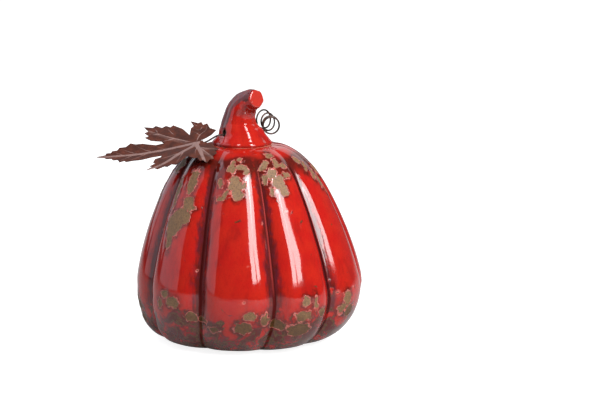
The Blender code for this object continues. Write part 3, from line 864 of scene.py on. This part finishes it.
def bent(stations, steps):
    """A smooth path through the stations, with the small kinks of a wire bent by hand."""
    path = [Vector(point) for point in spline([tuple(station) for station in stations], steps)]
    distance, wave = KINK
    kinked = []
    for number, point in enumerate(path):
        ease = min(1.0, number / 6, (len(path) - 1 - number) / 6)
        kinked.append(point + distance * ease * noise.noise_vector(point / wave))
    return kinked


def leaf_lead():
    """The stations of the wire from its straight stretch to its end under the leaf."""
    placed = leaf_frame()
    under = []
    for along in (WIRE_UNDER_START, 0.0, WIRE_UNDER_END):
        under.append(placed @ Vector((along, 0, float(leaf_height(along, 0)) - WIRE_UNDER_LEAF)))
    start = WIRE_CENTRE + HOLE_DIRECTION * (STRAIGHT_HALF + GAP)
    bend = WIRE_CENTRE + HOLE_DIRECTION * LEAF_SIDE_REACH
    fall = under[0] - bend
    knee = bend + HOLE_DIRECTION * BEND_EASE + fall * FALL_EASE
    heel = under[0] - (under[1] - under[0]) * HEEL_EASE - fall * FALL_EASE
    return [start, start.lerp(bend, 0.5), bend, knee, heel, *under]


def tendril():
    """The stations of the wire from its straight stretch to the end of its coil."""
    outwards = -HOLE_DIRECTION
    start = WIRE_CENTRE + outwards * (STRAIGHT_HALF + GAP)
    bend = WIRE_CENTRE + outwards * TENDRIL_SIDE_REACH
    coil = []
    count = int(COIL_TURNS * COIL_STEPS)
    for step in range(count + 1):
        share = step / count
        place = share * (len(COIL_LOOPS) - 1)
        x, y, z, radius, facing = (
            float(np.interp(place, range(len(COIL_LOOPS)), values)) for values in zip(*COIL_LOOPS)
        )
        facing = math.radians(facing)
        sideways = Vector((math.cos(facing), math.sin(facing), 0))
        angle = math.radians(COIL_START_ANGLE) - math.tau * COIL_TURNS * share
        spoke = math.cos(angle) * sideways + Vector((0, 0, math.sin(angle)))
        coil.append(AXIS + Vector((x, y, z)) + radius * spoke)
    lead_in = coil[0] - (coil[1] - coil[0]) * COIL_LEAD_IN
    turn = bend + outwards * BEND_EASE
    return [start, start.lerp(bend, 0.5), bend, turn, lead_in, *coil]


def build_bead(name, along):
    """A drop of solder drawn out along the wire, flat where it wets the leaf."""
    placed = leaf_frame()
    middle = Vector((along, 0, float(leaf_height(along, 0)) - WIRE_UNDER_LEAF))
    steps, sides = 30, 36
    rings = []
    for step in range(steps + 1):
        share = 2 * step / steps - 1
        swell = max(0.0, 1 - share * share) ** 0.55
        radius = 0.00064 + (BEAD_RADIUS - 0.0006) * swell
        for side in range(sides):
            angle = math.tau * side / sides
            offset = Vector((
                share * BEAD_LENGTH * 0.62, math.cos(angle) * radius * 1.12, math.sin(angle) * radius,
            ))
            offset *= 1 + 0.1 * noise.noise((middle + offset) / 0.0013)
            offset.z = min(offset.z, WIRE_UNDER_LEAF - LEAF_THICKNESS / 2 + 0.0001)
            rings.append(placed @ (middle + offset))
    return mesh_object(name, rings, ring_faces(steps + 1, sides, capped=True))


def build_pad(number, degrees):
    """A round felt pad with a soft edge."""
    turn = math.radians(degrees)
    lean = float(look_up(BODY_LEAN, 0.0))
    middle = AXIS + Vector((PAD_CIRCLE * math.sin(turn) + lean, -PAD_CIRCLE * math.cos(turn), 0.0))
    sides = 96
    profile = [(0.0006, 0.0), (0.003, 0.0), (0.0044, 0.00005), (0.0049, 0.0003), (PAD_RADIUS, 0.0007)]
    profile += [(0.0048, 0.0011), (0.0043, PAD_TOP), (0.003, PAD_TOP), (0.0006, PAD_TOP)]
    rings = []
    for radius, height in spline(profile, 4):
        for side in range(sides):
            angle = math.tau * side / sides
            point = middle + Vector((
                radius * math.cos(angle), radius * math.sin(angle), max(height, 0.0),
            ))
            fuzz = 1 + 0.016 * noise.noise(point / 0.0005) * min(1.0, radius / 0.003)
            point = middle + (point - middle) * fuzz
            point.z = max(point.z, 0.0)
            rings.append(point)
    rows = len(rings) // sides
    return mesh_object(f"felt_pad_{number}", rings, ring_faces(rows, sides, capped=True))


# Materials.


class Shader:
    """A material's node tree, with short ways to add the nodes it uses."""

    def __init__(self, name):
        self.material = bpy.data.materials.new(name)
        self.material.use_nodes = True
        self.tree = self.material.node_tree
        self.surface = self.tree.nodes["Principled BSDF"]
        self.place = self.add("ShaderNodeTexCoord").outputs["Object"]

    def add(self, kind, inputs=None, **settings):
        node = self.tree.nodes.new(kind)
        for key, value in settings.items():
            setattr(node, key, value)
        for key, value in (inputs or {}).items():
            self.feed(node.inputs[key], value)
        return node

    def feed(self, socket, value):
        if isinstance(value, bpy.types.NodeSocket):
            self.tree.links.new(value, socket)
        elif isinstance(value, tuple) and len(value) == 3 and socket.type == "RGBA":
            socket.default_value = (*value, 1.0)
        else:
            socket.default_value = value

    def set(self, key, value):
        """Give the surface's own socket a number or colour, or link a node's output to it."""
        self.feed(self.surface.inputs[key], value)

    def attribute(self, key):
        return self.add("ShaderNodeAttribute", attribute_name=key).outputs["Fac"]

    def stretched(self, across, up):
        """Coordinates for a noise with its own scale across and up."""
        node = self.add("ShaderNodeMapping", {"Vector": self.place, "Scale": (across, across, up)})
        return node.outputs["Vector"]

    def noise(self, scale, detail=3.0, roughness=0.55, vector=None, distortion=0.0):
        inputs = {"Vector": vector or self.place, "Scale": scale, "Detail": detail}
        inputs.update({"Roughness": roughness, "Distortion": distortion})
        return self.add("ShaderNodeTexNoise", inputs).outputs["Fac"]

    def cells(self, scale):
        inputs = {"Vector": self.place, "Scale": scale}
        return self.add("ShaderNodeTexVoronoi", inputs).outputs["Distance"]

    def math(self, operation, first, second):
        node = self.add("ShaderNodeMath", operation=operation)
        self.feed(node.inputs[0], first)
        self.feed(node.inputs[1], second)
        return node.outputs[0]

    def plus(self, first, second):
        return self.math("ADD", first, second)

    def minus(self, first, second):
        return self.math("SUBTRACT", first, second)

    def times(self, first, second):
        return self.math("MULTIPLY", first, second)

    def sway(self, value, amount):
        """A noise moved to lie evenly about zero, times the amount."""
        return self.times(self.minus(value, 0.5), amount)

    def step(self, value, low, high, out_low=0.0, out_high=1.0):
        """A soft step between low and high, from one output to the other."""
        inputs = {"Value": value, "From Min": low, "From Max": high, "To Min": out_low, "To Max": out_high}
        return self.add("ShaderNodeMapRange", inputs, interpolation_type="SMOOTHSTEP").outputs["Result"]

    def mix(self, share, first, second):
        """A colour between two."""
        node = self.add("ShaderNodeMix", data_type="RGBA")
        self.feed(node.inputs[0], share)
        self.feed(node.inputs[6], first)
        self.feed(node.inputs[7], second)
        return node.outputs[2]

    def blend(self, share, first, second):
        """A number between two."""
        node = self.add("ShaderNodeMix", data_type="FLOAT")
        self.feed(node.inputs[0], share)
        self.feed(node.inputs[2], first)
        self.feed(node.inputs[3], second)
        return node.outputs[0]

    def bump(self, height, distance, strength=1.0):
        node = self.add("ShaderNodeBump", {"Height": height, "Distance": distance, "Strength": strength})
        self.set("Normal", node.outputs["Normal"])


def glaze_material():
    """Glossy red glaze, maroon in the grooves and olive and plum near the foot, with bare patches.

    The grooves' maroon is partly painted shade. Shade is also painted on the shoulder, under the stem's
    tip, along a crease and in the wire holes, highlights on the lips, and a reflection on the cut face.
    """
    s = Shader("crawled_red_glaze")
    bare, groove, dark, foot = (s.attribute(key) for key in ("bare", "groove", "dark", "foot"))
    clay, pit, black, cut = (s.attribute(key) for key in ("clay", "pit", "black", "cut"))

    grain = s.noise(900.0, 4.0, 0.65)
    drift = s.noise(70.0, 3.0, 0.6)
    runs = s.noise(1.0, 4.0, 0.6, vector=s.stretched(330.0, 42.0))
    wide_runs = s.noise(1.0, 3.0, 0.55, vector=s.stretched(120.0, 22.0))
    blots = s.noise(190.0, 4.0, 0.6, distortion=0.4)
    islands = s.noise(95.0, 4.0, 0.62, distortion=0.8)

    red = s.mix(s.step(drift, 0.35, 0.65), RED, RED_WARM)
    red = s.mix(s.step(wide_runs, 0.5, 0.72, 0.0, 0.6), red, RED_DEEP)
    red = s.mix(s.step(s.noise(620.0, 4.0, 0.7), 0.48, 0.7, 0.0, 0.35), red, RED_DEEP)

    # The grooves' maroon: partly thinner glaze, partly painted shade in the hollows, with its own dark red
    # at the very bottom.
    depth = groove
    for pattern, amount in ((runs, 0.85), (blots, 0.35), (wide_runs, 0.45)):
        depth = s.plus(depth, s.sway(pattern, amount))
    groove_glaze_and_shade = s.step(depth, 0.4, 0.88)
    groove_color = s.mix(s.step(blots, 0.42, 0.62), MAROON, PLUM)
    color = s.mix(groove_glaze_and_shade, red, groove_color)
    color = s.mix(s.step(groove, 0.91, 0.975), color, GROOVE_BOTTOM)
    color = s.mix(s.step(black, 0.25, 0.75), color, BLACK)
    # The cut face: orange-red glaze with a painted reflection that makes it paler.
    color = s.mix(cut, color, CORAL)

    # Painted shade: the dark band on the shoulder, and the underside of the stem's tip, mottled.
    shade_mottle = s.plus(runs, s.times(blots, 0.5))
    shade = s.times(dark, s.step(shade_mottle, 0.45, 0.8, 0.62, 1.0))
    color = s.mix(shade, color, SHOULDER_DARK)

    # Near the foot the glaze ran thick: olive clouds, plum rings and islands of red.
    low = s.step(s.plus(foot, s.sway(islands, 2.4)), 0.38, 0.5)
    clouds = s.noise(98.0, 4.0, 0.55, distortion=0.7)
    clouds = s.plus(clouds, s.times(s.minus(foot, 0.6), 0.1))
    speckled = s.mix(s.step(grain, 0.42, 0.6), OLIVE_DARK, OLIVE)
    foot_color = RED_WARM
    for start, end, next_color in (
        (0.455, 0.475, RED_DEEP),
        (0.48, 0.5, PURPLE),
        (0.525, 0.54, speckled),
        (0.59, 0.61, MAROON),
    ):
        foot_color = s.mix(s.step(clouds, start, end), foot_color, next_color)
    plum_clouds = s.step(s.noise(60.0, 3.0, distortion=0.6), 0.44, 0.62, 0.0, 0.45)
    foot_color = s.mix(plum_clouds, foot_color, PLUM)
    color = s.mix(s.times(low, 0.97), color, foot_color)

    # The bare patches, each with a lip of thick glaze round it, painted pale pink as a highlight.
    edge = s.plus(bare, s.sway(s.noise(520.0, 4.0, 0.6), 0.0024))
    inside = s.step(edge, -0.00005, 0.00018)
    outside = s.minus(1.0, inside)
    halo = s.times(s.step(edge, -0.004, -0.0008), outside)
    color = s.mix(s.times(halo, s.step(blots, 0.36, 0.6, 0.3, 0.9)), color, SHOULDER_DARK)
    lip = s.times(s.step(edge, -0.0009, -0.0003), outside)
    lip = s.times(lip, s.step(s.noise(260.0, 2.0), 0.38, 0.58, 0.15, 1.0))
    color = s.mix(s.times(lip, 0.75), color, RIM_HIGHLIGHT_PINK)
    speckle = s.step(grain, 0.34, 0.6)
    patch_color = s.mix(speckle, TAN_DARK, TAN)
    patch_low = s.mix(speckle, OLIVE_DARK, OLIVE)
    patch_color = s.mix(s.step(foot, 0.15, 0.6), patch_color, patch_low)
    patch_color = s.mix(s.step(s.cells(1400.0), 0.1, 0.2), OLIVE_DARK, patch_color)
    color = s.mix(inside, color, patch_color)
    hole = s.step(pit, 0.45, 0.75)
    # Painted highlight round each pinhole's lip.
    hole_lip = s.times(s.step(pit, 0.05, 0.35), s.minus(1.0, hole))
    color = s.mix(s.times(hole_lip, 0.5), color, RIM_HIGHLIGHT_PINK)
    color = s.mix(hole, color, OLIVE_DARK)
    raw = s.mix(s.step(grain, 0.3, 0.7), CLAY, CLAY_DARK)
    s.set("Base Color", s.mix(clay, color, raw))

    matte = s.math("MAXIMUM", inside, clay)
    gloss = s.step(s.noise(60.0, 2.0), 0.3, 0.7, 0.065, 0.11)
    gloss = s.blend(s.times(low, 0.7), gloss, 0.16)

    # The glaze pools in the groove bottoms, where it mirrors dark red instead of white.
    pooled = s.step(groove, 0.93, 0.975)
    gloss = s.blend(pooled, gloss, 0.45)
    s.set("Metallic", s.times(pooled, 0.92))
    s.set("Roughness", s.blend(matte, gloss, 0.62))
    s.set("IOR", 1.52)

    height = s.times(s.noise(150.0, 2.0, 0.5), 0.1)
    rough_patches = s.times(grain, matte)
    thick_foot = s.times(blots, low)
    for pattern, amount in (
        (lip, 0.55), (rough_patches, 0.3), (inside, -0.25), (hole, -1.2), (thick_foot, 0.3),
    ):
        height = s.plus(height, s.times(pattern, amount))
    s.bump(height, 0.00035)
    return s.material


def leaf_material():
    """Pressed sheet steel, rusted brown, rubbed paler along its veins, with a painted sheen on its pleats'
    front slopes.
    """
    s = Shader("rusted_leaf_steel")
    vein = s.attribute("vein")
    pleat = s.attribute("pleat")
    grain = s.noise(1500.0, 5.0, 0.7)
    clouds = s.noise(160.0, 4.0, 0.6)
    scratches = s.noise(1.0, 3.0, 0.6, vector=s.stretched(220.0, 2200.0))
    color = s.mix(s.step(clouds, 0.35, 0.68), RUST_DARK, RUST)
    color = s.mix(s.step(grain, 0.5, 0.75, 0.0, 0.45), color, RUST_FLECK)
    # Pale rust where the veins are worn, and painted sheen on the pleats' front slopes.
    paleness = s.plus(s.times(vein, 0.95), s.times(pleat, 0.75))
    patchiness = s.step(s.plus(grain, s.times(clouds, 0.6)), 0.45, 0.95, 0.55, 1.0)
    paleness = s.times(paleness, patchiness)
    wear_and_sheen = s.step(paleness, 0.22, 0.72)
    color = s.mix(s.times(wear_and_sheen, 0.78), color, RUST_PALE)
    s.set("Base Color", color)
    s.set("Specular IOR Level", 0.22)
    s.set("Roughness", s.blend(wear_and_sheen, s.step(clouds, 0.3, 0.7, 0.5, 0.66), 0.42))
    height = s.plus(s.times(grain, 0.5), s.times(scratches, 0.25))
    s.bump(height, 0.00012, 0.8)
    return s.material


def metal_material(name, grains, spots, colors, metallic, roughness, relief):
    """Fine-grained metal with rust or flux in spots, which are duller.

    Grains are a noise's scale and roughness. Spots are the same, with their detail and lower edge.
    """
    s = Shader(name)
    grain = s.noise(grains[0], 4.0, grains[1])
    scale, detail, roughened, edge = spots
    spot = s.step(s.noise(scale, detail, roughened), edge, 0.66)
    dark, light, stain = colors
    s.set("Base Color", s.mix(s.times(spot, 0.7), s.mix(grain, dark, light), stain))
    s.set("Metallic", metallic)
    s.set("Roughness", s.blend(spot, *roughness))
    s.bump(grain, *relief)
    return s.material


def wire_material():
    """Dark annealed iron wire with rust in places."""
    return metal_material(
        "dark_iron_wire", (1800.0, 0.7), (260.0, 4.0, 0.65, 0.5), (IRON_DARK, IRON, IRON_RUST),
        metallic=0.75, roughness=(0.34, 0.62), relief=(0.00008, 0.8),
    )


def solder_material():
    """Dull grey solder, browned by flux."""
    return metal_material(
        "dull_solder", (1300.0, 0.6), (420.0, 3.0, 0.6, 0.48), (SOLDER_DARK, SOLDER, FLUX),
        metallic=0.85, roughness=(0.32, 0.6), relief=(0.0001, 0.7),
    )


def felt_material():
    """Grey-brown felt of short matted fibres."""
    s = Shader("grey_felt")
    fibres = s.noise(1.0, 5.0, 0.7, vector=s.stretched(2600.0, 3400.0), distortion=1.2)
    tufts = s.noise(900.0, 4.0, 0.7)
    color = s.mix(s.step(fibres, 0.35, 0.65), FELT_DARK, FELT)
    s.set("Base Color", s.mix(s.step(tufts, 0.4, 0.7, 0.0, 0.4), color, FELT_PALE))
    s.set("Roughness", 0.95)
    s.set("Sheen Weight", 0.4)
    s.bump(s.plus(fibres, tufts), 0.0002)
    return s.material


# The stage.


def build_floor():
    mesh = bpy.data.meshes.new("studio_floor")
    bm = bmesh.new()
    bmesh.ops.create_grid(bm, x_segments=2, y_segments=2, size=FLOOR_REACH)
    bm.to_mesh(mesh)
    bm.free()
    paper = Shader("white_paper")
    fibre = paper.noise(35.0, 3.0)
    paper.set("Base Color", paper.mix(fibre, PAPER_DARK, PAPER))
    paper.set("Roughness", 0.9)
    paper.set("Specular IOR Level", 0.0)
    paper.set("Emission Color", WHITE)
    seen = paper.add("ShaderNodeLightPath").outputs["Is Camera Ray"]
    paper.set("Emission Strength", paper.step(seen, 0.0, 1.0, FLOOR_GLOW, FLOOR_GLOW_SEEN))
    mesh.materials.append(paper.material)
    put("studio_floor", mesh)


def soft_box(name, azimuth, elevation, distance, width, height, power, roll, color):
    """A rectangular light that faces the figure, and that the camera doesn't see."""
    turn = math.radians(azimuth)
    rise = math.radians(elevation)
    direction = Vector((math.sin(turn) * math.cos(rise), -math.cos(turn) * math.cos(rise), math.sin(rise)))
    light = bpy.data.lights.new(name, "AREA")
    light.shape = "RECTANGLE"
    light.size = width
    light.size_y = height
    light.energy = power
    light.color = color
    lamp = put(name, light)
    lamp.location = CAMERA_TARGET + direction * distance
    tilt = Matrix.Rotation(math.radians(roll), 3, "Z").to_quaternion()
    lamp.rotation_euler = (direction.to_track_quat("Z", "Y") @ tilt).to_euler()
    lamp.visible_camera = False


def build_lights():
    for name, measures in SOFT_BOXES.items():
        soft_box(name, *measures)
    overhead = bpy.data.lights.new("overhead_fill", "SUN")
    overhead.energy = OVERHEAD_STRENGTH
    overhead.angle = math.radians(OVERHEAD_SPREAD)
    lamp = put("overhead_fill", overhead)
    lamp.location = (0.0, 0.0, 2.0)
    lamp.visible_glossy = False


def build_world():
    """A dim sky that the camera sees as plain white."""
    world = bpy.data.worlds.new("studio")
    bpy.context.scene.world = world
    world.use_nodes = True
    nodes = world.node_tree.nodes
    links = world.node_tree.links
    seen = nodes["Background"]
    seen.inputs["Color"].default_value = (*WHITE, 1.0)
    seen.inputs["Strength"].default_value = 1.0
    around = nodes.new("ShaderNodeBackground")
    around.inputs["Color"].default_value = (*SKY, 1.0)
    around.inputs["Strength"].default_value = SKY_STRENGTH
    path = nodes.new("ShaderNodeLightPath")
    both = nodes.new("ShaderNodeMixShader")
    links.new(path.outputs["Is Camera Ray"], both.inputs[0])
    links.new(around.outputs[0], both.inputs[1])
    links.new(seen.outputs[0], both.inputs[2])
    links.new(both.outputs[0], nodes["World Output"].inputs["Surface"])
    bpy.context.scene.view_settings.view_transform = "Standard"


def build_camera():
    rise = math.radians(CAMERA_ELEVATION)
    direction = Vector((0.0, -math.cos(rise), math.sin(rise)))
    lens = bpy.data.cameras.new("photo_view")
    lens.sensor_width = SENSOR
    lens.lens = SENSOR * CAMERA_DISTANCE / VIEW_WIDTH
    lens.shift_x, lens.shift_y = CAMERA_SHIFT
    lens.clip_end = 60.0
    camera = put("photo_view", lens)
    camera.location = CAMERA_TARGET + direction * CAMERA_DISTANCE
    camera.rotation_euler = direction.to_track_quat("Z", "Y").to_euler()
    bpy.context.scene.camera = camera


def dress(piece, body, node, material):
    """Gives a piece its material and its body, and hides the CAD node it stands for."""
    piece.data.materials.clear()
    piece.data.materials.append(material)
    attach(piece, body)
    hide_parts(node)


# Unseeded, noise_vector takes its offsets from the time of day, and the wires' kinks would vary.
noise.seed_set(KINK_SEED)

build_camera()
build_floor()
build_lights()
build_world()

glaze = glaze_material()
dress(build_body(), "pumpkin", "ceramic_body", glaze)
dress(build_stem(), "pumpkin", "ceramic_stem", glaze)

felt = felt_material()
for number, degrees in enumerate(PAD_ANGLES, 1):
    dress(build_pad(number, degrees), "pumpkin", f"foot_pad_{number}", felt)

iron = wire_material()
straight = [WIRE_CENTRE + HOLE_DIRECTION * STRAIGHT_HALF * share for share in (-1.0, -0.5, 0.0, 0.5, 1.0)]
for name, path, body, node in (
    ("wire_straight", bent(straight, 6), "wire_core", "cross_wire"),
    ("wire_to_leaf", bent(leaf_lead(), 8), "leaf_and_tendril", "leaf_wire"),
    ("wire_tendril", bent(tendril(), 4), "leaf_and_tendril", "tendril_wire"),
):
    dress(tube(name, path, WIRE_RADIUS), body, node, iron)

dress(build_leaf(), "leaf_and_tendril", "leaf_blade", leaf_material())
solder = solder_material()
for node, along in BEADS:
    dress(build_bead(node.replace("leaf_", ""), along), "leaf_and_tendril", node, solder)
